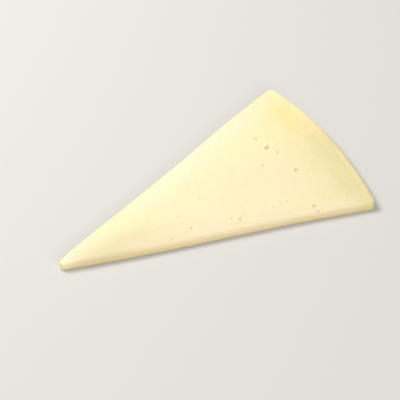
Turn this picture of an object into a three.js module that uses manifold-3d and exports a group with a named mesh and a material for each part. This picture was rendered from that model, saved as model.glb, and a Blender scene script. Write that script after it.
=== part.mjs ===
// A thin wedge-shaped slice of manchego, cut straight across the cheese, its rind trimmed off.
// Millimetres, +Z up. The slice lies on its flat underside, the tip towards -X and the outer
// edge, which followed the side of the whole cheese, towards +X.

import * as THREE from 'three';
import { mergeVertices } from 'three/addons/utils/BufferGeometryUtils.js';
import Module from 'manifold-3d';

// Outline of the slice
const nearSide = 95; // straight cut at -Y, from where the cuts would meet to the outer edge
const backSide = 104.5; // straight cut at +Y
const wedgeAngle = THREE.MathUtils.degToRad(36.5); // between the two straight cuts
const rimRadius = 138; // curve of the outer edge
const tipRadius = 1; // the soft tip, seen from above
const cornerRadius = 1.6; // the two outer corners, seen from above
const nearWander = 0.45; // how far the knife strayed along the near cut
const backWander = 0.2; // and along the back cut
const trimStrokes = 5; // the rind was trimmed off in this many strokes, from corner to corner
const trimDepth = 0.13; // each stroke ran this far inside the outer edge's curve

// Thickness and edges
const thickness = 3;
const cutRoundIn = 1.5; // the soft upper edge curves in this far along the straight cuts
const rimRoundIn = 0.8; // and this far along the outer edge
const tipRoundIn = 0.75; // and this far round the tip
const tipRoundReach = 14; // the soft edge grows from the tip's to the cuts' over this distance
const roundDownShare = 0.5; // it curves down by this share of how far it curves in
const bottomRound = 0.3; // the sharper lower edge
const cutDroop = 0.25; // the top sinks towards the straight cuts
const cutDroopWidth = 3.5;
const handWave = 0.15; // slow rise and fall of the hand-cut top
const handWaveLength = 46;
const handWaveSlant = 0.4; // its crests run askew across the slice
const handWaveCross = 0.7; // its turns across the slice for each turn along it

// The drier paste that lay under the rind has sunk, and leaves a thin lip at the outer edge
const dipDepth = 0.6;
const dipFromRim = 2; // deepest this far inside the outer edge
const dipInnerWidth = 5.5; // slow fall from the middle of the slice
const dipInnerPower = 1.4; // how suddenly that fall ends at the deepest line
const dipOuterWidth = 0.9; // quick rise to the lip
const lipShare = 0.3; // the lip comes back up by this share of the depth
const dipMiddle = 0.45; // where it is deepest and how far it reaches along the edge, as shares
const dipReach = 0.95; // of the half angle, counted from the middle towards the near cut

// Steps round the outline, and rings from the middle to the edge
const sideSteps = 34;
const stepsPerStroke = 9;
const tipSteps = 8;
const cornerSteps = 6;
const edgeSteps = 3;
const middle = new THREE.Vector2(66, 0); // the rings' middle, from where the cuts would meet
const rings = [0.975, 0.95, 0.92, 0.88, 0.83, 0.76, 0.66, 0.52, 0.3, 0];

// The eyes of the cheese that show on top: distance from where the cuts would meet, degrees
// from the middle line towards the back cut, length, width, and the length's turn
const eyesOnTop = [
  { along: 81.4, degrees: 9.9, length: 1.6, width: 1.1, turn: 20 },
  { along: 81.0, degrees: 6.2, length: 2.8, width: 1.8, turn: 35 },
  { along: 81.8, degrees: 3.6, length: 2.6, width: 1.3, turn: 70 },
  { along: 74.3, degrees: 1.9, length: 1.4, width: 1.0, turn: 0 },
  { along: 81.1, degrees: -3.3, length: 1.9, width: 1.6, turn: 15 },
  { along: 56.0, degrees: -14.3, length: 2.1, width: 1.1, turn: 60 },
  { along: 53.8, degrees: -13.2, length: 1.5, width: 0.8, turn: 60 },
  { along: 41.5, degrees: -12.9, length: 1.6, width: 1.0, turn: 60 },
  { along: 77.9, degrees: -15.8, length: 1.7, width: 1.3, turn: 0 },
  { along: 78.3, degrees: -17.8, length: 1.9, width: 1.5, turn: -18 },
];
const eyeDepthShare = 0.55; // an eye's egg of air reaches this share of its width up and down
const eyeLift = 0.3; // and its middle lies this share of that reach outside the paste

// The eyes elsewhere are drawn at random
const undersideEyes = 10;
const undersideArea = [0.1, 0.85]; // shares of the area in from the tip that they lie between
const undersideReach = 0.4; // share of the wedge's angle to each side of the middle line
const nearCutEyes = [70.5]; // distances from where the cuts would meet
const backCutEyes = [29, 47, 75, 96];
const rimEyes = [0.3, 0.8]; // shares of the outer edge, from the near corner
const sideEyeHeights = [0.3, 0.65]; // shares of the thickness
const eyeLengths = [1, 2];
const eyeWidthShares = [0.5, 0.9];
const eyeDetail = 1;
const eyeSeed = 17;

const wasm = await Module();
wasm.setup();

// Outline

function onRay(distance, angle) {
  return new THREE.Vector2(distance * Math.cos(angle), distance * Math.sin(angle));
}

const nearAngle = -wedgeAngle / 2;
const backAngle = wedgeAngle / 2;
const nearCorner = onRay(nearSide, nearAngle);
const backCorner = onRay(backSide, backAngle);

// The outer edge's circle goes through both corners, with its middle on the tip's side
function circleThrough(a, b, radius) {
  const chord = b.clone().sub(a);
  const half = chord.length() / 2;
  const inward = new THREE.Vector2(-chord.y, chord.x).normalize();
  const reach = Math.sqrt(radius * radius - half * half);
  return a.clone().add(b).multiplyScalar(0.5).addScaledVector(inward, reach);
}
const rimMiddle = circleThrough(nearCorner, backCorner, rimRadius);

// A round corner touches a straight cut, `side` of it, and the outer edge from inside
function cornerMiddle(angle, side) {
  const offset = onRay(cornerRadius, angle + side * Math.PI / 2);
  const direction = onRay(1, angle);
  const toStart = offset.clone().sub(rimMiddle);
  const b = toStart.dot(direction);
  const c = toStart.lengthSq() - (rimRadius - cornerRadius) ** 2;
  return offset.addScaledVector(direction, -b + Math.sqrt(b * b - c));
}
const nearRound = cornerMiddle(nearAngle, 1);
const backRound = cornerMiddle(backAngle, -1);
const tipMiddle = new THREE.Vector2(tipRadius / Math.sin(wedgeAngle / 2), 0);

function arc(centre, radius, from, to) {
  return new THREE.EllipseCurve(centre.x, centre.y, radius, radius, from, to);
}

const nearRimAngle = nearRound.clone().sub(rimMiddle).angle() - 2 * Math.PI;
const backRimAngle = backRound.clone().sub(rimMiddle).angle();
const quarter = Math.PI / 2;
const tipArc = arc(tipMiddle, tipRadius, backAngle + quarter, nearAngle + 3 * quarter);
const nearArc = arc(nearRound, cornerRadius, nearAngle - quarter, nearRimAngle);
const rimArc = arc(rimMiddle, rimRadius, nearRimAngle, backRimAngle);
const backArc = arc(backRound, cornerRadius, backRimAngle, backAngle + quarter);
const nearCut = new THREE.LineCurve(tipArc.getPoint(1), nearArc.getPoint(0));
const backCut = new THREE.LineCurve(backArc.getPoint(1), tipArc.getPoint(0));

// How far in the upper edge curves at a place on a straight cut
function cutEdge(fromTip) {
  const grown = THREE.MathUtils.smoothstep(fromTip, 0, tipRoundReach);
  return THREE.MathUtils.lerp(tipRoundIn, cutRoundIn, grown);
}

// Once round, seen from above: each stretch with its steps, how far in its upper edge curves,
// and how far the knife strayed
const straight = () => 0;
const stretches = [
  {
    curve: nearCut,
    steps: sideSteps,
    roundIn: (t) => cutEdge(t * nearCut.getLength()),
    stray: (t) => nearWander * Math.sin(2 * Math.PI * t),
  },
  {
    curve: nearArc,
    steps: cornerSteps,
    roundIn: (t) => THREE.MathUtils.lerp(cutRoundIn, rimRoundIn, t),
    stray: straight,
  },
  {
    curve: rimArc,
    steps: trimStrokes * stepsPerStroke,
    roundIn: () => rimRoundIn,
    stray: (t) => -trimDepth * Math.sin(Math.PI * ((trimStrokes * t) % 1)),
  },
  {
    curve: backArc,
    steps: cornerSteps,
    roundIn: (t) => THREE.MathUtils.lerp(rimRoundIn, cutRoundIn, t),
    stray: straight,
  },
  {
    curve: backCut,
    steps: sideSteps,
    roundIn: (t) => cutEdge((1 - t) * backCut.getLength()),
    stray: (t) => backWander * Math.sin(3 * Math.PI * t),
  },
  { curve: tipArc, steps: tipSteps, roundIn: () => tipRoundIn, stray: straight },
];

const outline = [];
for (const { curve, steps, roundIn, stray } of stretches) {
  for (let i = 0; i < steps; i += 1) {
    const t = i / steps;
    const tangent = curve.getTangent(t);
    const outward = new THREE.Vector2(tangent.y, -tangent.x);
    const point = curve.getPoint(t).addScaledVector(outward, stray(t));
    outline.push({ point, outward, roundIn: roundIn(t) });
  }
}

// Body

// How far the top has sunk at a point near the outer edge
function rimDip(x, y) {
  const past = rimRadius - Math.hypot(x - rimMiddle.x, y - rimMiddle.y) - dipFromRim;
  const across = -Math.atan2(y, x) / (wedgeAngle / 2);
  const share = THREE.MathUtils.clamp((across - dipMiddle) / dipReach, -1, 1);
  const fade = Math.cos(quarter * share) ** 2;
  const inner = Math.exp(-((Math.max(past, 0) / dipInnerWidth) ** dipInnerPower));
  const lip = lipShare * (1 - Math.exp(-((Math.min(past, 0) / dipOuterWidth) ** 2)));
  return dipDepth * fade * (inner - lip);
}

// How far it has sunk near a straight cut
function edgeDroop(x, y, inward) {
  const fromCut = x * inward.x + y * inward.y;
  return cutDroop * Math.exp(-((fromCut / cutDroopWidth) ** 2));
}

const fromNear = onRay(1, nearAngle + quarter);
const fromBack = onRay(1, backAngle - quarter);

function topHeight(x, y) {
  const turn = 2 * Math.PI / handWaveLength;
  const along = Math.sin(turn * (x + handWaveSlant * y));
  const wave = handWave * along * Math.cos(handWaveCross * turn * y);
  return thickness + wave - rimDip(x, y) - edgeDroop(x, y, fromNear) - edgeDroop(x, y, fromBack);
}

// One section from the underside's middle to the top's middle, at one point of the outline
function section({ point, outward, roundIn }) {
  const at = (inset) => point.clone().addScaledVector(outward, -inset);
  const places = [new THREE.Vector3(middle.x, middle.y, 0)];
  for (let i = 0; i <= edgeSteps; i += 1) {
    const a = quarter * i / edgeSteps;
    const p = at(bottomRound * (1 - Math.sin(a)));
    places.push(new THREE.Vector3(p.x, p.y, bottomRound * (1 - Math.cos(a))));
  }
  const shoulder = at(roundIn);
  const edgeTop = topHeight(shoulder.x, shoulder.y);
  for (let i = 0; i <= edgeSteps; i += 1) {
    const a = quarter * i / edgeSteps;
    const p = at(roundIn * (1 - Math.cos(a)));
    const height = edgeTop - roundDownShare * roundIn * (1 - Math.sin(a));
    places.push(new THREE.Vector3(p.x, p.y, height));
  }
  for (const share of rings) {
    const p = middle.clone().lerp(shoulder, share);
    places.push(new THREE.Vector3(p.x, p.y, topHeight(p.x, p.y)));
  }
  return places;
}

// A lathe turned about the middle gives the faces, and each of its turns is drawn out to the
// outline's own section
function sliceGeometry() {
  const sections = outline.map(section);
  const count = sections[0].length;
  const profile = sections[0].map((p, j) => new THREE.Vector2(0, j));
  const lathe = new THREE.LatheGeometry(profile, sections.length);
  const position = lathe.getAttribute('position');
  for (let i = 0; i <= sections.length; i += 1) {
    sections[i % sections.length].forEach((p, j) => {
      position.setXYZ(i * count + j, p.x, p.y, p.z);
    });
  }
  return lathe;
}

// A closed geometry as a solid, with the empty triangles at a lathe's poles dropped
function solid(geometry) {
  geometry.deleteAttribute('normal');
  geometry.deleteAttribute('uv');
  const merged = mergeVertices(geometry);
  const index = merged.getIndex().array;
  const triangles = [];
  for (let i = 0; i < index.length; i += 3) {
    const [a, b, c] = index.slice(i, i + 3);
    if (a !== b && b !== c && c !== a) triangles.push(a, b, c);
  }
  return new wasm.Manifold(new wasm.Mesh({
    numProp: 3,
    vertProperties: new Float32Array(merged.getAttribute('position').array),
    triVerts: new Uint32Array(triangles),
  }));
}

// Eyes

// An eye is a small egg of air. Its own z axis points out of the paste.
function eye({ place, outward, length, width, turn }) {
  const egg = new THREE.IcosahedronGeometry(1, eyeDetail);
  const reach = eyeDepthShare * width;
  egg.scale(length / 2, width / 2, reach);
  egg.rotateZ(THREE.MathUtils.degToRad(turn));
  const up = new THREE.Vector3(0, 0, 1);
  egg.applyQuaternion(new THREE.Quaternion().setFromUnitVectors(up, outward));
  const middleOf = place.clone().addScaledVector(outward, eyeLift * reach);
  egg.translate(middleOf.x, middleOf.y, middleOf.z);
  return egg;
}

// The same draws each time, from a linear congruential series
function seeded(seed) {
  const factor = 1664525;
  const step = 1013904223;
  const span = 2 ** 32;
  let state = seed;
  return (low, high) => {
    state = (state * factor + step) % span;
    return low + (high - low) * state / span;
  };
}
const draw = seeded(eyeSeed);

function randomEye(p, height, outward) {
  const place = new THREE.Vector3(p.x, p.y, height);
  const length = draw(...eyeLengths);
  return { place, outward, length, width: length * draw(...eyeWidthShares), turn: draw(0, 180) };
}

// An eye on an upright side, at a height somewhere in the middle of it
function sideEye(p, out) {
  const outward = new THREE.Vector3(out.x, out.y, 0);
  return randomEye(p, thickness * draw(...sideEyeHeights), outward);
}

function allEyes() {
  const up = new THREE.Vector3(0, 0, 1);
  const down = new THREE.Vector3(0, 0, -1);
  const eyes = eyesOnTop.map(({ along, degrees, length, width, turn }) => {
    const p = onRay(along, THREE.MathUtils.degToRad(degrees));
    const place = new THREE.Vector3(p.x, p.y, topHeight(p.x, p.y));
    return { place, outward: up, length, width, turn };
  });
  for (let i = 0; i < undersideEyes; i += 1) {
    const along = nearSide * Math.sqrt(draw(...undersideArea));
    const angle = wedgeAngle * draw(-undersideReach, undersideReach);
    eyes.push(randomEye(onRay(along, angle), 0, down));
  }
  for (const along of nearCutEyes) {
    eyes.push(sideEye(onRay(along, nearAngle), onRay(1, nearAngle - quarter)));
  }
  for (const along of backCutEyes) {
    eyes.push(sideEye(onRay(along, backAngle), onRay(1, backAngle + quarter)));
  }
  for (const share of rimEyes) {
    const p = rimArc.getPoint(share);
    eyes.push(sideEye(p, p.clone().sub(rimMiddle).normalize()));
  }
  return eyes;
}

// Slice

function sliceMesh() {
  const paste = allEyes().reduce((body, e) => body.subtract(solid(eye(e))), solid(sliceGeometry()));
  const { vertProperties, triVerts } = paste.getMesh();
  const geometry = new THREE.BufferGeometry();
  geometry.setAttribute('position', new THREE.BufferAttribute(vertProperties, 3));
  geometry.setIndex(new THREE.BufferAttribute(triVerts, 1));
  // The origin is the middle of the underside's box
  geometry.computeBoundingBox();
  const centre = geometry.boundingBox.getCenter(new THREE.Vector3());
  geometry.translate(-centre.x, -centre.y, -geometry.boundingBox.min.z);
  geometry.computeVertexNormals();
  const finish = new THREE.MeshStandardMaterial({ color: 0xfcf0c4, roughness: 0.55, metalness: 0 });
  const mesh = new THREE.Mesh(geometry, finish);
  mesh.name = 'cheese_slice';
  return mesh;
}

const slice = new THREE.Group();
slice.add(sliceMesh());

export default slice;
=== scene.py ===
"""A thin wedge-shaped slice of hard sheep's milk cheese, lying on a pale studio floor."""
import math

import bmesh
import bpy
import numpy as np
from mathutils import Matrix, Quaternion, Vector
from mathutils.geometry import delaunay_2d_cdt


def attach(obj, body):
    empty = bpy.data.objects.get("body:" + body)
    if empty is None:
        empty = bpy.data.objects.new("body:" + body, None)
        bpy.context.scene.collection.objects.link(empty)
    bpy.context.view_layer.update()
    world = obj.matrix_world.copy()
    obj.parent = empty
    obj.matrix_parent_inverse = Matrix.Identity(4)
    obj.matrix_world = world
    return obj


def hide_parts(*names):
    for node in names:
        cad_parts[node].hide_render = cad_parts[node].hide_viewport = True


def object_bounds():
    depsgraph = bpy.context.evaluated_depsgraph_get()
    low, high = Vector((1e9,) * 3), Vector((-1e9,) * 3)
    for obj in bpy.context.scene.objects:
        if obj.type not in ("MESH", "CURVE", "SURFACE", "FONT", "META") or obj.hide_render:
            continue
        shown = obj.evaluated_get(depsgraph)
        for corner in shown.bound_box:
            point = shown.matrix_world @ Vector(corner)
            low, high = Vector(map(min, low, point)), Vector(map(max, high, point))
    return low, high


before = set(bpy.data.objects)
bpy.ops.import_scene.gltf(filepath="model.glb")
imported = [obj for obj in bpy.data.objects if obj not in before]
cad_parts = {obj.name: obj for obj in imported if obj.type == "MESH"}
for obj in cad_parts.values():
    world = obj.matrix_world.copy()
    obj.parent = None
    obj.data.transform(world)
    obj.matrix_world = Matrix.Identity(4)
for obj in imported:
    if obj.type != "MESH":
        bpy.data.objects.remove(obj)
cad_low, cad_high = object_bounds()

# Slice, its body. The real piece is one sector of a pressed and cured cheese, parted from it
# by two straight cuts and one slicing cut above and below, with the rind trimmed off its
# curved side. Its outline and faces follow the same sizes as the solid that it replaces.

MM = 0.001
QUARTER = math.pi / 2
near_side = 95 * MM  # straight cut at -Y, from where the cuts would meet to the outer edge
back_side = 104.5 * MM  # straight cut at +Y
wedge_angle = math.radians(36.5)
rim_radius = 138 * MM  # curve of the outer edge
tip_radius = 1 * MM
corner_radius = 1.6 * MM
near_wander = 0.45 * MM  # how far the knife strayed to either side along the near cut
near_bends = 2  # in as many bends, to one side and the other by turns
back_wander = 0.2 * MM
back_bends = 3
trim_strokes = 5  # the rind was trimmed off in this many strokes, from corner to corner
trim_depth = 0.13 * MM  # each stroke ran this far inside the outer edge's curve
thickness = 3 * MM
cut_round_in = 1.5 * MM  # the soft upper edge curves in this far along the straight cuts
rim_round_in = 0.8 * MM  # and this far along the outer edge
tip_round_in = 0.75 * MM  # and this far round the tip
tip_round_reach = 14 * MM  # over which the soft edge grows from the tip's to the cuts'
round_down_share = 0.5  # it curves down by this share of how far it curves in
bottom_round = 0.3 * MM
cut_droop = 0.25 * MM  # the top sinks towards the straight cuts
cut_droop_width = 3.5 * MM
hand_wave = 0.15 * MM  # slow rise and fall of the hand-cut top
hand_wave_length = 46 * MM
hand_wave_slant = 0.4  # its crests lean off the Y axis with this slope
hand_wave_cross = 0.7  # along Y it swells and fades this share as often as it waves along X
dip_depth = 0.6 * MM  # the drier paste that lay under the rind has sunk
dip_from_rim = 2 * MM  # its deepest line runs this far inside the outer edge's curve
dip_inner_width = 5.5 * MM
dip_inner_power = 1.4
dip_outer_width = 0.9 * MM
lip_share = 0.3  # the lip at the outer edge comes back up by this share of the depth
dip_middle = 0.45  # it is deepest at this share of the half angle, on the near side
dip_reach = 0.95  # and fades out over this share of it to either side
grain = 0.3 * MM  # distance between the points of the mesh
under_grain = 0.42 * MM  # and on the underside
ring_clearance = 0.6  # points that fill a ring keep this share of that distance from it
arc_samples = 800  # points that an arc is worked out at before they are spaced evenly
cut_samples = 4000  # and a straight cut
top_edge_rows = 6
bottom_edge_rows = 3
side_rows = 7


def on_ray(distance, angle):
    return distance * np.array((math.cos(angle), math.sin(angle)))


near_angle, back_angle = -wedge_angle / 2, wedge_angle / 2
near_corner = on_ray(near_side, near_angle)
back_corner = on_ray(back_side, back_angle)
chord = back_corner - near_corner
half_chord = np.linalg.norm(chord) / 2
chord_inward = np.array((-chord[1], chord[0])) / (2 * half_chord)
chord_to_middle = math.sqrt(rim_radius**2 - half_chord**2)
rim_middle = (near_corner + back_corner) / 2 + chord_inward * chord_to_middle


def corner_middle(angle, side):
    """The middle of the small circle that rounds a straight cut into the outer edge."""
    start = on_ray(corner_radius, angle + side * QUARTER)
    direction = on_ray(1, angle)
    from_middle = start - rim_middle
    along = from_middle @ direction
    shortfall = (rim_radius - corner_radius) ** 2 - from_middle @ from_middle
    return start + direction * (math.sqrt(along * along + shortfall) - along)


def smooth(value):
    """Zero below zero and one above one, with a soft rise between them."""
    share = np.clip(value, 0, 1)
    return share * share * (3 - 2 * share)


def arc(middle, radius, first, last, round_in, strokes=1, stray=0):
    """Points along an arc, the way out at each, and how far the soft edge above curves in."""
    t = np.linspace(0, 1, arc_samples)
    angles = first + (last - first) * t
    outward = np.column_stack((np.cos(angles), np.sin(angles)))
    reach = radius - stray * np.sin(math.pi * (strokes * t % 1))
    return middle + reach[:, None] * outward, outward, np.interp(t, (0, 1), round_in)


def cut(first, last, outward, wander, bends, from_tip):
    """The same along a straight cut, with the bends of the knife."""
    t = np.linspace(0, 1, cut_samples)
    outward = np.tile(outward, (len(t), 1))
    stray = wander * np.sin(bends * math.pi * t)
    points = first + (last - first) * t[:, None] + outward * stray[:, None]
    grown = smooth(from_tip(t) * math.dist(first, last) / tip_round_reach)
    return points, outward, tip_round_in + (cut_round_in - tip_round_in) * grown


near_round = corner_middle(near_angle, 1)
back_round = corner_middle(back_angle, -1)
tip_middle = np.array((tip_radius / math.sin(wedge_angle / 2), 0))
near_rim_angle = math.atan2(*(near_round - rim_middle)[::-1])
back_rim_angle = math.atan2(*(back_round - rim_middle)[::-1])
tip_arc = arc(
    tip_middle, tip_radius, back_angle + QUARTER, near_angle + 3 * QUARTER,
    (tip_round_in, tip_round_in),
)
near_arc = arc(
    near_round, corner_radius, near_angle - QUARTER, near_rim_angle,
    (cut_round_in, rim_round_in),
)
rim_arc = arc(
    rim_middle, rim_radius, near_rim_angle, back_rim_angle, (rim_round_in, rim_round_in),
    trim_strokes, trim_depth,
)
back_arc = arc(
    back_round, corner_radius, back_rim_angle, back_angle + QUARTER,
    (rim_round_in, cut_round_in),
)
tip_points, near_points, back_points = tip_arc[0], near_arc[0], back_arc[0]
near_cut = cut(
    tip_points[-1], near_points[0], on_ray(1, near_angle - QUARTER),
    near_wander, near_bends, lambda t: t,
)
back_cut = cut(
    back_points[-1], tip_points[0], on_ray(1, back_angle + QUARTER),
    back_wander, back_bends, lambda t: 1 - t,
)
stretches = (near_cut, near_arc, rim_arc, back_arc, back_cut, tip_arc)
fine_points = np.vstack([points[:-1] for points, way_out, curve_in in stretches])
fine_outward = np.vstack([way_out[:-1] for points, way_out, curve_in in stretches])
fine_round_in = np.vstack([curve_in[:-1, None] for points, way_out, curve_in in stretches])


def evenly(values, lengths, count):
    """Values that go once round the outline, read at even distances along it."""
    wanted = np.arange(count) * lengths[-1] / count
    closed = np.vstack((values, values[:1]))
    return np.column_stack([np.interp(wanted, lengths, column) for column in closed.T])


steps = np.linalg.norm(np.diff(fine_points, axis=0, append=fine_points[:1]), axis=1)
lengths = np.concatenate(((0,), np.cumsum(steps)))
around = round(lengths[-1] / grain)
outline = evenly(fine_points, lengths, around)
outward = evenly(fine_outward, lengths, around)
round_in = evenly(fine_round_in, lengths, around)
to_frame = np.array(cad_low[:2]) - fine_points.min(axis=0)  # from where the cuts would meet


def rim_dip(points):
    past = rim_radius - np.linalg.norm(points - rim_middle, axis=1) - dip_from_rim
    across = -np.arctan2(points[:, 1], points[:, 0]) / (wedge_angle / 2)
    share = np.clip((across - dip_middle) / dip_reach, -1, 1)
    fade = np.cos(QUARTER * share) ** 2
    inner = np.exp(-((np.maximum(past, 0) / dip_inner_width) ** dip_inner_power))
    lip = lip_share * (1 - np.exp(-((np.minimum(past, 0) / dip_outer_width) ** 2)))
    return dip_depth * fade * (inner - lip)


def edge_droop(points):
    from_near = points @ on_ray(1, near_angle + QUARTER)
    from_back = points @ on_ray(1, back_angle - QUARTER)
    near = np.exp(-((from_near / cut_droop_width) ** 2))
    return cut_droop * (near + np.exp(-((from_back / cut_droop_width) ** 2)))


def top_height(points):
    turn = 2 * math.pi / hand_wave_length
    x, y = points.T
    wave = np.sin(turn * (x + hand_wave_slant * y)) * np.cos(hand_wave_cross * turn * y)
    return thickness + hand_wave * wave - rim_dip(points) - edge_droop(points)


def even_field(ring, inner_ring, spacing):
    """A ring filled with evenly spaced points: the points added, and the triangles of all."""
    x0, y0 = inner_ring.T
    x1, y1 = np.roll(inner_ring, -1, axis=0).T
    rise = np.where(y1 == y0, 1, y1 - y0)
    lattice = []
    for row, y in enumerate(np.arange(y0.min(), y0.max(), spacing * math.sqrt(3) / 2)):
        crossed = (y0 > y) != (y1 > y)
        ends = np.sort((x0 + (y - y0) * (x1 - x0) / rise)[crossed])
        shift = row % 2 / 2
        for first, last in zip(ends[::2] / spacing, ends[1::2] / spacing):
            columns = np.arange(math.ceil(first - shift), last - shift) + shift
            lattice.append(np.column_stack((columns * spacing, np.full(len(columns), y))))
    lattice = np.vstack(lattice)
    points = [Vector(point) for point in np.vstack((ring, lattice)) / MM]
    only_inside = 1  # the kind of result that has no triangles outside the ring
    same_point = 1e-6  # points closer than this, in millimetres, would become one
    made_points, _, triangles = delaunay_2d_cdt(
        points, [], [range(len(ring))], only_inside, same_point
    )[:3]
    if len(made_points) != len(points):
        raise ValueError("the triangulation changed the points")
    return lattice, triangles


def inset(distance):
    return outline - outward * distance


# Rows of points go round the side, from the edge of the underside up to the edge of the top
rows = []
for i in range(bottom_edge_rows):
    angle = QUARTER * i / bottom_edge_rows
    height = bottom_round * (1 - math.cos(angle))
    rows.append((inset(bottom_round * (1 - math.sin(angle))), np.full(around, height)))
shoulder = inset(round_in)
edge_top = top_height(shoulder)
round_down = round_down_share * round_in[:, 0]
for i in range(side_rows):
    share = i / side_rows
    rows.append((outline, bottom_round * (1 - share) + (edge_top - round_down) * share))
for i in range(top_edge_rows + 1):
    angle = QUARTER * i / top_edge_rows
    drop = round_down * (1 - math.sin(angle))
    rows.append((inset(round_in * (1 - math.cos(angle))), edge_top - drop))

top_ring = inset(round_in + ring_clearance * grain)
top_lattice, top_faces = even_field(shoulder, top_ring, grain)
under_ring = inset(bottom_round + ring_clearance * under_grain)
under_lattice, under_faces = even_field(rows[0][0], under_ring, under_grain)
layers = [np.column_stack((points + to_frame, height)) for points, height in rows]
layers.append(np.column_stack((top_lattice + to_frame, top_height(top_lattice))))
layers.append(np.column_stack((under_lattice + to_frame, np.zeros(len(under_lattice)))))
vertices = np.vstack(layers)

faces = []
for row in range(len(rows) - 1):
    for i in range(around):
        after = (i + 1) % around
        low, high = row * around, (row + 1) * around
        faces.append((low + i, low + after, high + after, high + i))
# The points that fill the top come right after its edge, and those of the underside last
to_top = (len(rows) - 1) * around
to_under = to_top + len(top_lattice)
for face in top_faces:
    faces.append([i + to_top for i in face])
for face in under_faces:
    faces.append([i if i < around else i + to_under for i in reversed(face)])

body_mesh = bpy.data.meshes.new("sliced_body")
body_mesh.from_pydata(vertices.tolist(), [], faces)
body_mesh.validate()
body = bpy.data.objects.new("sliced_body", body_mesh)
bpy.context.scene.collection.objects.link(body)

# Eyes. Small gas holes that formed in the paste while the cheese was young, and that the knife
# cut open. The ones on top lie where they do on the real slice, and the others are drawn by
# the same rule and seed as in the solid.

# Distance from where the cuts would meet, angle, length, width and turn of each, in
# millimetres and degrees
eyes_on_top = (
    (81.4, 9.9, 1.6, 1.1, 20),
    (81.0, 6.2, 2.8, 1.8, 35),
    (81.8, 3.6, 2.6, 1.3, 70),
    (74.3, 1.9, 1.4, 1.0, 0),
    (81.1, -3.3, 1.9, 1.6, 15),
    (56.0, -14.3, 2.1, 1.1, 60),
    (53.8, -13.2, 1.5, 0.8, 60),
    (41.5, -12.9, 1.6, 1.0, 60),
    (77.9, -15.8, 1.7, 1.3, 0),
    (78.3, -17.8, 1.9, 1.5, -18),
)
eye_depth_share = 0.55  # an eye's egg of air reaches this share of its width up and down
eye_lift = 0.3  # and its middle lies this share of that reach outside the paste
underside_eyes = 10
underside_area = (0.1, 0.85)  # shares of the area in from the tip that they lie between
underside_reach = 0.4  # share of the wedge's angle to each side of the middle line
near_cut_eyes = (70.5 * MM,)  # distances from where the cuts would meet
back_cut_eyes = (29 * MM, 47 * MM, 75 * MM, 96 * MM)
rim_eyes = (0.3, 0.8)  # shares of the outer edge, from the near corner
side_eye_heights = (0.3, 0.65)  # shares of the thickness
eye_lengths = (1, 2)  # in millimetres
eye_width_shares = (0.5, 0.9)
eye_turns = (0, 180)  # in degrees
eye_seed = 17
UP = Vector((0, 0, 1))
UPSIDE_DOWN = Quaternion((0, 0, 1, 0))


def seeded(seed):
    """The same draws each time, from a linear congruential series."""
    factor = 1664525
    step = 1013904223
    span = 2**32
    state = seed

    def draw(low, high):
        nonlocal state
        state = (state * factor + step) % span
        return low + (high - low) * state / span

    return draw


draw = seeded(eye_seed)
eyes = []  # place, way out of the paste, length, width and turn of each


def random_eye(point, height, out):
    length = draw(*eye_lengths) * MM
    width = length * draw(*eye_width_shares)
    eyes.append((Vector((*point, height)), out, length, width, draw(*eye_turns)))


def side_eye(point, out):
    random_eye(point, thickness * draw(*side_eye_heights), Vector((*out, 0)))


for along, degrees, length, width, turn in eyes_on_top:
    point = on_ray(along * MM, math.radians(degrees))
    height = top_height(point[None])[0]
    eyes.append((Vector((*point, height)), UP, length * MM, width * MM, turn))
for i in range(underside_eyes):
    along = near_side * math.sqrt(draw(*underside_area))
    random_eye(on_ray(along, wedge_angle * draw(-underside_reach, underside_reach)), 0, -UP)
for along in near_cut_eyes:
    side_eye(on_ray(along, near_angle), on_ray(1, near_angle - QUARTER))
for along in back_cut_eyes:
    side_eye(on_ray(along, back_angle), on_ray(1, back_angle + QUARTER))
for share in rim_eyes:
    angle = near_rim_angle + (back_rim_angle - near_rim_angle) * share
    side_eye(rim_middle + on_ray(rim_radius, angle), on_ray(1, angle))

eye_mesh = bpy.data.meshes.new("eye_places")
eye_middles = []
for place, out, length, width, turn in eyes:
    eye_middles.append(place + out * eye_lift * eye_depth_share * width + Vector((*to_frame, 0)))
eye_mesh.from_pydata(eye_middles, [], [])
eye_size = eye_mesh.attributes.new("eye_size", "FLOAT_VECTOR", "POINT")
eye_turn = eye_mesh.attributes.new("eye_turn", "FLOAT_VECTOR", "POINT")
for i, (place, out, length, width, turn) in enumerate(eyes):
    facing = UPSIDE_DOWN if out.z < 0 else UP.rotation_difference(out)
    turned = facing @ Quaternion(UP, math.radians(turn))
    eye_size.data[i].vector = (length / 2, width / 2, eye_depth_share * width)
    eye_turn.data[i].vector = turned.to_euler()
eye_places = bpy.data.objects.new("eye_places", eye_mesh)
bpy.context.scene.collection.objects.link(eye_places)

# Surface of the slice. Eggs of air open the eyes, and much smaller ones prick the pin-holes
# that such paste is full of. The knife leaves the grain of the curd, faint lines across the
# faces and ragged sides.

egg_fineness = 4  # an egg has twenty faces at one, and four times as many at each step up
pin_fineness = 2
# The walls of holes are marked for a darker olive colour: partly the paste's own colour in them
# and partly painted shade.
eye_mark = 1.0  # kept on the walls of a hole, for the colour of the paste in it
pin_mark = 0.8
knife_line_turn = math.radians(12)  # the lines run this far off the Y axis
knife_line_stretch = 25  # and their noise is drawn out this many times along them
noise_middle = 0.5  # noise lies between zero and one


def add(tree, kind, inputs=None, **settings):
    """Adds a node with its settings and what feeds it. A node feeds by its first output."""
    node = tree.nodes.new(kind)
    for name, value in settings.items():
        setattr(node, name, value)
    for socket, source in (inputs or {}).items():
        if isinstance(source, bpy.types.Node):
            source = source.outputs[0]
        if isinstance(source, bpy.types.NodeSocket):
            tree.links.new(source, node.inputs[socket])
        else:
            node.inputs[socket].default_value = source
    return node


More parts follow.
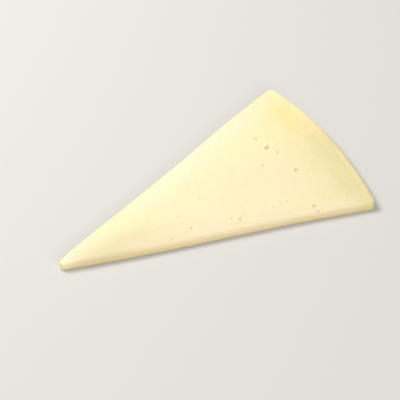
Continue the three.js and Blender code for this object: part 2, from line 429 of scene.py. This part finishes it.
carve = bpy.data.node_groups.new("carve_cheese", "GeometryNodeTree")
carve.is_modifier = True
carve_inputs = {
    "Geometry": ("NodeSocketGeometry", None),
    "Eye Places": ("NodeSocketObject", eye_places),
    "Eye Lump Relief": ("NodeSocketFloat", 0.32 * MM),
    "Eye Lump Size": ("NodeSocketFloat", 0.8 * MM),
    "Pin Hole Number": ("NodeSocketFloat", 0.018 / MM**2),
    "Pin Hole Distance": ("NodeSocketFloat", 1.5 * MM),
    "Pin Hole Least": ("NodeSocketFloat", 0.1 * MM),
    "Pin Hole Most": ("NodeSocketFloat", 0.36 * MM),
    "Curd Relief": ("NodeSocketFloat", 0.07 * MM),
    "Curd Size": ("NodeSocketFloat", 3.5 * MM),
    "Grain Relief": ("NodeSocketFloat", 0.045 * MM),
    "Grain Size": ("NodeSocketFloat", 0.9 * MM),
    "Knife Line Relief": ("NodeSocketFloat", 0.02 * MM),
    "Knife Line Spacing": ("NodeSocketFloat", 1.5 * MM),
    "Cut Side Relief": ("NodeSocketFloat", 0.1 * MM),
    "Cut Side Size": ("NodeSocketFloat", 2.4 * MM),
    "Sharp Angle": ("NodeSocketFloat", math.radians(38)),
    "Paste": ("NodeSocketMaterial", None),
}
for name, (socket_type, value) in carve_inputs.items():
    carve.interface.new_socket(name, in_out="INPUT", socket_type=socket_type)
carve.interface.new_socket("Geometry", in_out="OUTPUT", socket_type="NodeSocketGeometry")
given = add(carve, "NodeGroupInput").outputs
place_now = add(carve, "GeometryNodeInputPosition")
normal_now = add(carve, "GeometryNodeInputNormal")


def swelling(size, relief, detail, place=place_now):
    """A move along the normal, out or in by up to the relief, in lumps of the given size."""
    scale = add(carve, "ShaderNodeMath", {0: 1.0, 1: size}, operation="DIVIDE")
    noise = add(carve, "ShaderNodeTexNoise", {"Vector": place, "Scale": scale, "Detail": detail})
    centred = add(carve, "ShaderNodeMath", {0: noise, 1: noise_middle}, operation="SUBTRACT")
    stray = add(carve, "ShaderNodeMath", {0: centred, 1: noise_middle}, operation="DIVIDE")
    return add(carve, "ShaderNodeMath", {0: stray, 1: relief}, operation="MULTIPLY")


def pushed(geometry, amount):
    """A surface moved along its normals, out by an amount or in where it is negative."""
    move = add(carve, "ShaderNodeVectorMath", {0: normal_now, "Scale": amount}, operation="SCALE")
    return add(carve, "GeometryNodeSetPosition", {"Geometry": geometry, "Offset": move})


def cut_out(cheese, air, mark):
    """Takes shapes of air out of the cheese, and marks the walls that this leaves."""
    marked = add(
        carve, "GeometryNodeStoreNamedAttribute",
        {"Geometry": air, "Name": "in_eye", "Value": mark}, data_type="FLOAT", domain="POINT",
    )
    return add(
        carve, "GeometryNodeMeshBoolean", {"Mesh 1": cheese, "Mesh 2": marked},
        operation="DIFFERENCE", solver="MANIFOLD",
    )


places = add(carve, "GeometryNodeObjectInfo", {"Object": given["Eye Places"]})
size_read = add(
    carve, "GeometryNodeInputNamedAttribute", {"Name": "eye_size"}, data_type="FLOAT_VECTOR"
)
turn_read = add(
    carve, "GeometryNodeInputNamedAttribute", {"Name": "eye_turn"}, data_type="FLOAT_VECTOR"
)
turn_made = add(carve, "FunctionNodeEulerToRotation", {0: turn_read})
egg = add(carve, "GeometryNodeMeshIcoSphere", {"Radius": 1.0, "Subdivisions": egg_fineness})
eggs = add(carve, "GeometryNodeInstanceOnPoints", {
    "Points": places.outputs["Geometry"],
    "Instance": egg,
    "Rotation": turn_made,
    "Scale": size_read,
})
real_eggs = add(carve, "GeometryNodeRealizeInstances", {0: eggs})
egg_lumps = swelling(given["Eye Lump Size"], given["Eye Lump Relief"], detail=2.0)
opened = cut_out(given["Geometry"], pushed(real_eggs, egg_lumps), eye_mark)

pin_places = add(
    carve, "GeometryNodeDistributePointsOnFaces",
    {
        "Mesh": given["Geometry"],
        "Distance Min": given["Pin Hole Distance"],
        "Density Max": given["Pin Hole Number"],
        "Seed": eye_seed,
    },
    distribute_method="POISSON",
)
pin = add(carve, "GeometryNodeMeshIcoSphere", {"Radius": 1.0, "Subdivisions": pin_fineness})
least, most, drawn = 2, 3, 1  # a Random Value node's sockets for plain numbers
pin_reach = []
for seed in range(3):
    reach = add(
        carve, "FunctionNodeRandomValue",
        {least: given["Pin Hole Least"], most: given["Pin Hole Most"], "Seed": seed},
        data_type="FLOAT",
    )
    pin_reach.append(reach.outputs[drawn])
pin_size = add(
    carve, "ShaderNodeCombineXYZ", {"X": pin_reach[0], "Y": pin_reach[1], "Z": pin_reach[2]}
)
pins = add(carve, "GeometryNodeInstanceOnPoints", {
    "Points": pin_places,
    "Instance": pin,
    "Rotation": pin_places.outputs["Rotation"],
    "Scale": pin_size,
})
real_pins = add(carve, "GeometryNodeRealizeInstances", {0: pins})
pitted = cut_out(opened, real_pins, pin_mark)

# Curd and grain show all over, torn curd on upright sides, and knife lines on level faces
facing_up = add(carve, "ShaderNodeSeparateXYZ", {0: normal_now}).outputs["Z"]
level = add(carve, "ShaderNodeMath", {0: facing_up}, operation="ABSOLUTE")
upright = add(carve, "ShaderNodeMath", {0: 1.0, 1: level}, operation="SUBTRACT")
curd = swelling(given["Curd Size"], given["Curd Relief"], detail=2.0)
fine = swelling(given["Grain Size"], given["Grain Relief"], detail=3.0)
ragged = swelling(given["Cut Side Size"], given["Cut Side Relief"], detail=3.0)
knife_turn = add(
    carve, "ShaderNodeVectorRotate", {"Vector": place_now, "Angle": knife_line_turn},
    rotation_type="Z_AXIS",
)
knife_run = add(
    carve, "ShaderNodeVectorMath", {0: knife_turn, 1: (1, 1 / knife_line_stretch, 1)},
    operation="MULTIPLY",
)
lined = swelling(
    given["Knife Line Spacing"], given["Knife Line Relief"], detail=1.0, place=knife_run
)
on_sides = add(carve, "ShaderNodeMath", {0: ragged, 1: upright}, operation="MULTIPLY")
on_faces = add(carve, "ShaderNodeMath", {0: lined, 1: level}, operation="MULTIPLY")
relief = curd
for part in (fine, on_sides, on_faces):
    relief = add(carve, "ShaderNodeMath", {0: relief, 1: part}, operation="ADD")
swollen = pushed(pitted, relief)

# The slice's weight presses its underside flat, so that nothing reaches below it
apart = add(carve, "ShaderNodeSeparateXYZ", {0: place_now}).outputs
height = add(carve, "ShaderNodeMath", {0: apart["Z"], 1: 0.0}, operation="MAXIMUM")
pressed = add(carve, "ShaderNodeCombineXYZ", {"X": apart["X"], "Y": apart["Y"], "Z": height})
carved = add(carve, "GeometryNodeSetPosition", {"Geometry": swollen, "Position": pressed})
bend = add(carve, "GeometryNodeInputMeshEdgeAngle").outputs["Unsigned Angle"]
soft = add(carve, "FunctionNodeCompare", {0: bend, 1: given["Sharp Angle"]}, operation="LESS_THAN")
smooth_faces = add(carve, "GeometryNodeSetShadeSmooth", {0: carved, "Shade Smooth": True})
smooth_edges = add(
    carve, "GeometryNodeSetShadeSmooth", {0: smooth_faces, "Shade Smooth": soft}, domain="EDGE"
)
realized = add(carve, "GeometryNodeRealizeInstances", {0: smooth_edges})
painted = add(
    carve, "GeometryNodeSetMaterial", {"Geometry": realized, "Material": given["Paste"]}
)
add(carve, "NodeGroupOutput", {0: painted})

# Cheese paste. Pressed and cured sheep's milk curd: dense, a little oily, ivory with a deeper
# straw yellow where it lay under the rind. Light goes in a millimetre or two and comes out
# again, so edges look soft and shadows on it warm.

# Besides the paste's own colours, its colour holds painted light and shade, set out below.
ripe_depth = 30 * MM  # the straw yellow fades out over this depth from the outer edge
ripe_stops = (  # share of that depth, and how strong the straw yellow is there
    (0, 1),
    (0.07, 0.95),
    (0.13, 1),
    (0.19, 0.94),
    (0.28, 0.62),
    (0.4, 0.4),
    (0.6, 0.2),
    (1, 0),
)
ripe_drift = 9 * MM  # the depth wanders by up to half of this to either side
ripe_drift_size = 9 * MM  # in blotches of about this size

# A tint comes in or fades out over a range. The first of its two values is where there is none
# of the tint, and the second is where there is all of it.
# The core is painted lighter towards the back and darker towards the near side: painted light and
# shade as the light falls across the top.
core_light_turn = (-4 * MM, 14 * MM)  # along Y, from the near tint to the back one
rim_turn = (-1 * MM, 17 * MM)
near_strip_width = (6 * MM, 2.5 * MM)
near_strip_start = (12 * MM, 30 * MM)  # from the tip
near_strip_end = (2 * MM, 9 * MM)  # from the outer edge
near_strip_loss = 0.45  # share of the straw yellow that is missing there
back_highlight_width = (10 * MM, 3 * MM)
lip_width = (4 * MM, 1 * MM)
lip_highlight_loss = 0.5
tip_shade_start = (2 * MM, 9 * MM)
tip_shade_end = (54 * MM, 2 * MM)
tip_shade_width = (12 * MM, 6 * MM)
tip_shade_across = (0.6, 0.15)  # distances from the near cut, as shares of those from the tip
yellow_tip_start = (4 * MM, 14 * MM)
yellow_tip_end = (44 * MM, 24 * MM)
yellow_tip_across = (0.15, 0.4)
side_shade_depth = (1.6 * MM, 0.4 * MM)
side_shade_height = (2.8 * MM, 0.2 * MM)
curd_blotch = 1.6 * MM
pore = 0.5 * MM  # real pores are finer, and wouldn't show
pore_depth = 0.07 * MM


def linear(hex_colour):
    """The linear values and full alpha of an sRGB colour."""
    values = []
    for i in (1, 3, 5):
        value = int(hex_colour[i:i + 2], 16) / 255
        values.append(value / 12.92 if value <= 0.04045 else ((value + 0.055) / 1.055) ** 2.4)
    return [*values, 1]


paste = bpy.data.materials.new("cured_sheep_milk_paste")
paste.use_nodes = True
shade = paste.node_tree
shade.nodes.clear()
where = add(shade, "ShaderNodeTexCoord").outputs["Object"]
here = add(shade, "ShaderNodeSeparateXYZ", {0: where}).outputs
flat_place = add(shade, "ShaderNodeVectorMath", {0: where, 1: (1, 1, 0)}, operation="MULTIPLY")
rim_middle_now = (*(rim_middle + to_frame), 0)
to_rim_middle = add(
    shade, "ShaderNodeVectorMath", {0: flat_place, 1: rim_middle_now}, operation="DISTANCE"
).outputs["Value"]
from_rim = add(shade, "ShaderNodeMath", {0: rim_radius, 1: to_rim_middle}, operation="SUBTRACT")
from_tip = add(shade, "ShaderNodeMath", {0: here["X"], 1: to_frame[0]}, operation="SUBTRACT")


def from_cut(angle, side):
    """The distance in from a straight cut."""
    tip_now = (*to_frame, 0)
    inward = (*on_ray(1, angle + side * QUARTER), 0)
    offset = add(shade, "ShaderNodeVectorMath", {0: where, 1: tip_now}, operation="SUBTRACT")
    return add(
        shade, "ShaderNodeVectorMath", {0: offset, 1: inward}, operation="DOT_PRODUCT"
    ).outputs["Value"]


def share_in(*ranges):
    """Zero where any value is short of its range, and one where all are past theirs."""
    share = 1.0
    for value, none_at, all_at in ranges:
        reached = add(
            shade, "ShaderNodeMapRange", {"Value": value, "From Min": none_at, "From Max": all_at},
            interpolation_type="SMOOTHSTEP",
        )
        share = add(shade, "ShaderNodeMath", {0: share, 1: reached}, operation="MULTIPLY")
    return share


def laid_over(under, over, share, strength=1.0):
    """A colour with another laid over it, by a share that is first cut to the strength."""
    part = add(shade, "ShaderNodeMath", {0: share, 1: strength}, operation="MULTIPLY")
    below, above, result = 6, 7, 2  # a Mix node's sockets for colours
    mix = add(
        shade, "ShaderNodeMix", {"Factor": part, below: under, above: over}, data_type="RGBA"
    )
    return mix.outputs[result]


from_near = from_cut(near_angle, 1)
from_back = from_cut(back_angle, -1)
across_tip = add(shade, "ShaderNodeMath", {0: from_near, 1: from_tip}, operation="DIVIDE")
from_side = from_near
for other in (from_back, from_rim):
    from_side = add(shade, "ShaderNodeMath", {0: from_side, 1: other}, operation="MINIMUM")

# The straw yellow is strong over the outer 6 mm, fades over the next 24, and wanders a little
ripe_blotches = add(
    shade, "ShaderNodeTexNoise", {"Vector": where, "Scale": 1 / ripe_drift_size, "Detail": 2.0}
)
swing = add(shade, "ShaderNodeMath", {0: ripe_blotches, 1: noise_middle}, operation="SUBTRACT")
drift = add(shade, "ShaderNodeMath", {0: swing, 1: ripe_drift}, operation="MULTIPLY")
depth_in = add(shade, "ShaderNodeMath", {0: from_rim, 1: drift}, operation="ADD")
depth_share = add(shade, "ShaderNodeMath", {0: depth_in, 1: ripe_depth}, operation="DIVIDE")
ripeness = add(shade, "ShaderNodeValToRGB", {"Fac": depth_share})
stops = ripeness.color_ramp.elements
while len(stops) < len(ripe_stops):
    stops.new(1)
for stop, (at, strength) in zip(stops, ripe_stops):
    stop.position = at
    stop.color = (strength, strength, strength, 1)

# A strip along the near cut is painted darker and less yellow, partly painted shade where
# the top falls away from the light. A painted highlight lies along the back cut and on the back
# half of the lip, and painted shade on the near half of the lip.
near_strip = share_in(
    (from_near, *near_strip_width), (from_tip, *near_strip_start), (from_rim, *near_strip_end)
)
back_cut_highlight = share_in((from_back, *back_highlight_width))
# Painted highlight on the back half of the lip, which takes out some of its straw yellow.
lip_highlight = share_in((from_rim, *lip_width), (here["Y"], *rim_turn))
lip_shade = share_in((from_rim, *lip_width), (here["Y"], *reversed(rim_turn)))
for paler, loss in ((near_strip, near_strip_loss), (lip_highlight, lip_highlight_loss)):
    lost = add(shade, "ShaderNodeMath", {0: paler, 1: loss}, operation="MULTIPLY")
    kept = add(shade, "ShaderNodeMath", {0: 1.0, 1: lost}, operation="SUBTRACT")
    ripeness = add(shade, "ShaderNodeMath", {0: ripeness, 1: kept}, operation="MULTIPLY")
# Painted light: the core runs from a darker near colour to a lighter back one.
back_light_share = share_in((here["Y"], *core_light_turn))
back_rim = share_in((here["Y"], *rim_turn))
core = laid_over(linear("#FAE9C4"), linear("#FDEFC6"), back_light_share)
# Under the rind the paste is straw yellow, deepest towards the back. The near half is painted a
# darker khaki: partly that yellow and partly painted shade over the sunken paste.
under_rind_and_shade = laid_over(linear("#E9DDA9"), linear("#FFE6A6"), back_rim)
colour = laid_over(core, under_rind_and_shade, ripeness)

# Near the tip, where the slice is narrow, the top is painted darker as painted shade. Low on
# its sides it is painted darker and more golden: painted contact shade and a warm painted
# reflection. The curd shows in faint blotches.
tip_shade = share_in(
    (from_tip, *tip_shade_start),
    (from_tip, *tip_shade_end),
    (from_near, *tip_shade_width),
    (across_tip, *tip_shade_across),
)
yellow_tip = share_in(
    (from_tip, *yellow_tip_start), (from_tip, *yellow_tip_end), (across_tip, *yellow_tip_across)
)
side_shade_and_reflection = share_in((from_side, *side_shade_depth), (here["Z"], *side_shade_height))
curd_blotches = add(
    shade, "ShaderNodeTexNoise", {"Vector": where, "Scale": 1 / curd_blotch, "Detail": 4.0}
)
in_eye = add(shade, "ShaderNodeAttribute", attribute_name="in_eye").outputs["Fac"]
for tint, share, strength in (
    ("#FBEBA8", yellow_tip, 0.4),
    # painted shade near the tip
    ("#D9CFA4", tip_shade, 0.8),
    # painted highlight along the back cut
    ("#FFF9E4", back_cut_highlight, 0.3),
    # partly painted shade along the near cut, and less yellow
    ("#EFE1C3", near_strip, 0.5),
    # painted shade on the near half of the lip
    ("#DACD9B", lip_shade, 0.35),
    ("#F5E3B2", curd_blotches, 0.3),
    # painted contact shade and a warm painted reflection, low on the sides
    ("#E8CF94", side_shade_and_reflection, 0.6),
    # partly the paste's colour and partly painted shade in the holes
    ("#E8DFB8", in_eye, 0.35),
):
    colour = laid_over(colour, linear(tint), share, strength)
pores = add(shade, "ShaderNodeTexNoise", {"Vector": where, "Scale": 1 / pore, "Detail": 3.0})
pored = add(shade, "ShaderNodeBump", {"Height": pores, "Distance": pore_depth, "Strength": 0.6})
surface = add(shade, "ShaderNodeBsdfPrincipled", {
    "Base Color": colour,
    "Roughness": 0.52,
    "IOR": 1.45,
    "Subsurface Weight": 0.75,
    "Subsurface Radius": (1.0, 0.7, 0.4),
    "Subsurface Scale": 1.2 * MM,
    "Normal": pored,
})
add(shade, "ShaderNodeOutputMaterial", {"Surface": surface})

# Slice, finished. The body gets its surface and its paste, becomes one plain closed mesh, and
# takes the place of the solid.

sliver = 0.006 * MM  # points closer than this, left where two cuts nearly meet, become one
patch_rounds = 8  # at most, since it stops once nothing is torn

carver = body.modifiers.new("carve", "NODES")
carver.node_group = carve
settings = {name: value for name, (kind, value) in carve_inputs.items() if value is not None}
settings["Paste"] = paste
for socket in carve.interface.items_tree:
    if socket.in_out == "INPUT" and socket.name in settings:
        carver[socket.identifier] = settings[socket.name]
settled = body.evaluated_get(bpy.context.evaluated_depsgraph_get())
slice_mesh = bpy.data.meshes.new_from_object(settled)
slice_mesh.name = "slice_of_cheese"


def close_up(mesh):
    """Merges a cut mesh's slivers, and patches the few spots that this tears open."""
    work = bmesh.new()
    work.from_mesh(mesh)
    bmesh.ops.triangulate(work, faces=work.faces)
    bmesh.ops.remove_doubles(work, verts=work.verts, dist=sliver)
    for i in range(patch_rounds):
        torn = [point for point in work.verts if point.is_boundary or not point.is_manifold]
        if not torn:
            break
        bmesh.ops.delete(work, geom=torn, context="VERTS")
        rims = [edge for edge in work.edges if edge.is_boundary]
        patches = bmesh.ops.holes_fill(work, edges=rims, sides=0)["faces"]
        for patch in patches:
            patch.smooth = True
        bmesh.ops.triangulate(work, faces=patches)
    work.to_mesh(mesh)
    work.free()


close_up(slice_mesh)
cheese = bpy.data.objects.new("slice_of_cheese", slice_mesh)
bpy.context.scene.collection.objects.link(cheese)
bpy.data.objects.remove(body)
bpy.data.objects.remove(eye_places)
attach(cheese, "root")
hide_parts("cheese_slice")

# Floor. A sheet of matt white card, which shows soft shadows and no gloss. It lies a hair lower
# than the slice's underside, so that the two faces don't share one plane.

floor_half = 1.2
floor_drop = 0.02 * MM
floor_mesh = bpy.data.meshes.new("floor")
floor_corners = [
    (x * floor_half, y * floor_half, -floor_drop) for x, y in ((-1, -1), (1, -1), (1, 1), (-1, 1))
]
floor_mesh.from_pydata(floor_corners, [], [(0, 1, 2, 3)])
floor = bpy.data.objects.new("floor", floor_mesh)
bpy.context.scene.collection.objects.link(floor)
floor_finish = bpy.data.materials.new("matt_white_card")
floor_finish.use_nodes = True
card = floor_finish.node_tree.nodes["Principled BSDF"]
card.inputs["Base Color"].default_value = linear("#DAD8D5")
card.inputs["Roughness"].default_value = 0.9
card.inputs["Specular IOR Level"].default_value = 0.1
floor_mesh.materials.append(floor_finish)

# Camera. It looks down on the slice from the tip's side, as in the photograph, far off and
# through a long lens.

slice_middle = Vector((0, 0, thickness / 2))
camera_azimuth = math.radians(-35.6)
camera_elevation = math.radians(38)
camera_distance = 850 * MM
back_to_camera = Vector((
    math.sin(camera_azimuth) * math.cos(camera_elevation),
    -math.cos(camera_azimuth) * math.cos(camera_elevation),
    math.sin(camera_elevation),
))
camera_data = bpy.data.cameras.new("camera")
camera_data.sensor_width = 36
camera_data.lens = 268
camera_data.clip_start = 0.05
camera_data.clip_end = 20
camera = bpy.data.objects.new("camera", camera_data)
camera.location = slice_middle + back_to_camera * camera_distance
camera.rotation_mode = "QUATERNION"
camera.rotation_quaternion = (-back_to_camera).to_track_quat("-Z", "Y")
bpy.context.scene.collection.objects.link(camera)
bpy.context.scene.camera = camera

# Light. A large soft lamp stands behind and to the left, a weaker one in front, and pale walls
# fill the rest. The lamps' places are in metres from the slice, as the camera sees it.

level_forward = Vector((-back_to_camera.x, -back_to_camera.y, 0)).normalized()
level_right = level_forward.cross(UP)


def lamp(name, right, forward, up, size, watts, colour):
    data = bpy.data.lights.new(name, "AREA")
    data.shape = "DISK"
    data.size = size
    data.energy = watts
    data.color = linear(colour)[:3]
    made = bpy.data.objects.new(name, data)
    made.location = level_right * right + level_forward * forward + UP * up
    made.rotation_mode = "QUATERNION"
    made.rotation_quaternion = made.location.to_track_quat("Z", "Y")
    bpy.context.scene.collection.objects.link(made)


lamp(
    "soft_key", right=-0.387, forward=0.237, up=0.541, size=0.41, watts=4.06, colour="#FFFDF8"
)
lamp("front_fill", right=0.3, forward=-0.8, up=0.35, size=0.6, watts=3.5, colour="#FFFFFF")
room = bpy.data.worlds.new("pale_room")
room.use_nodes = True
room.node_tree.nodes["Background"].inputs["Color"].default_value = linear("#FFFFFF")
room.node_tree.nodes["Background"].inputs["Strength"].default_value = 0.42
bpy.context.scene.world = room
bpy.context.scene.view_settings.view_transform = "Standard"
